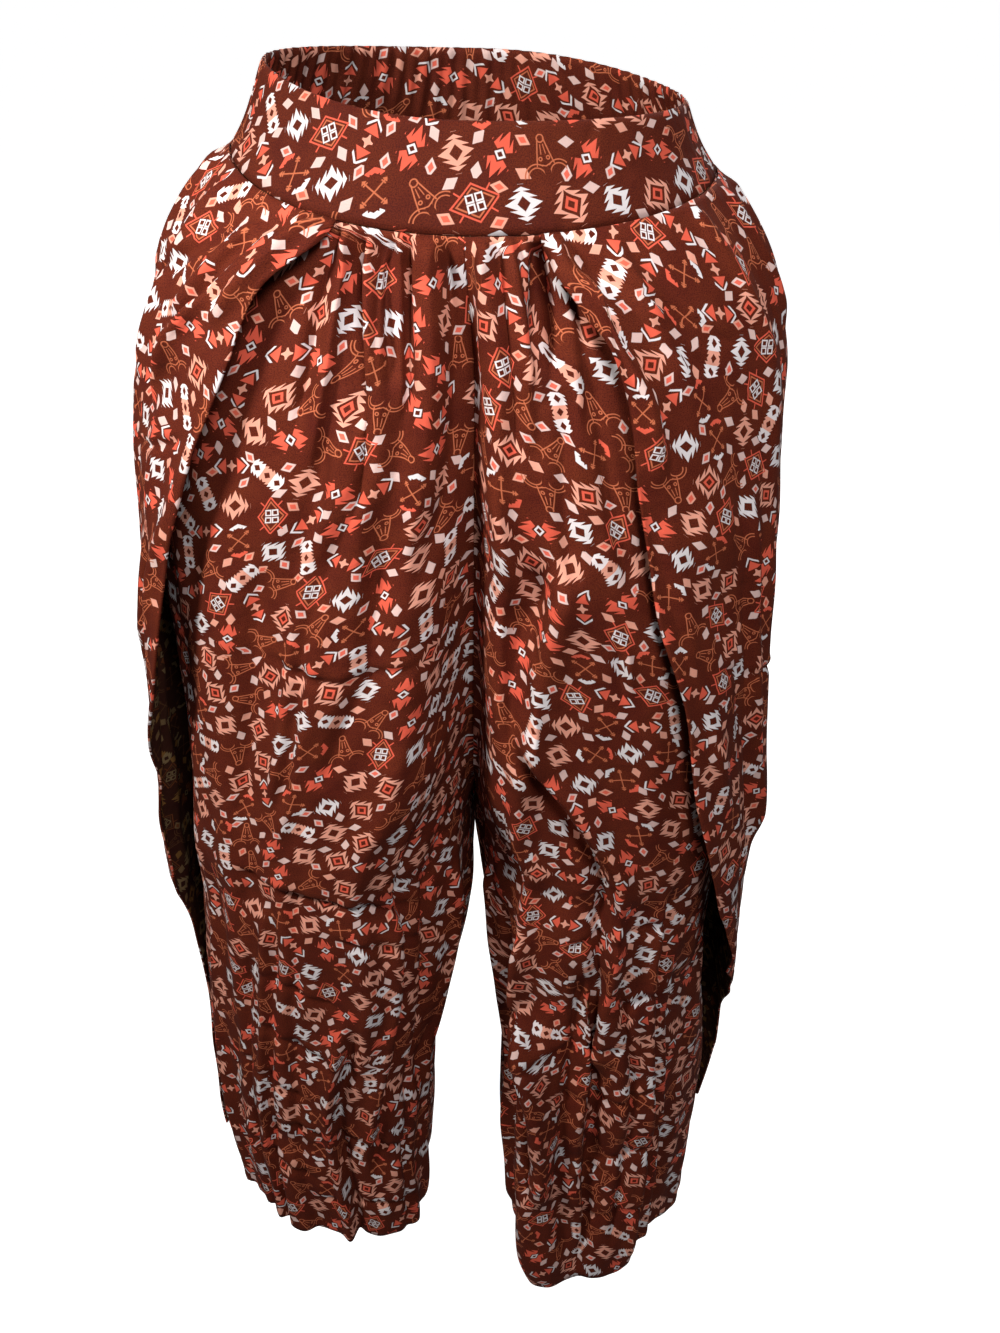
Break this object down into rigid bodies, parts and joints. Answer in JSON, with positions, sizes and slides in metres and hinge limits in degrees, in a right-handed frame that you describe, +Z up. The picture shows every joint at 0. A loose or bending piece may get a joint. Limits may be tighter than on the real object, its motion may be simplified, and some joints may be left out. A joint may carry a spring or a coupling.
{
  "type": "harem capri pants",
  "caption": "Loose printed cloth trousers, worn and hollow, gathered to a broad waistband, with back panels that wrap forward over the fronts and leave open slits down both sides.",
  "frame": {"origin": "centre of the waist opening at the level of the waistband's top edge, where the wearer holds the garment", "axes": "+Z is up along the wearer's body, the front faces -Y, and +X is the wearer's left"},
  "size_m": [0.4281, 0.2875, 0.8991],
  "materials": {
    "printed_rayon": "matte woven rayon, dark reddish brown with a tossed print in white, peach and coral",
    "printed_rayon_band": "the same printed rayon, doubled, flat at the front and drawn up on elastic at the back"
  },
  "bodies": {
    "root": {"waistband_front": "printed_rayon_band", "waistband_back": "printed_rayon_band", "front_left": "printed_rayon", "front_right": "printed_rayon", "back_left": "printed_rayon", "back_right": "printed_rayon"}
  },
  "joints": []
}
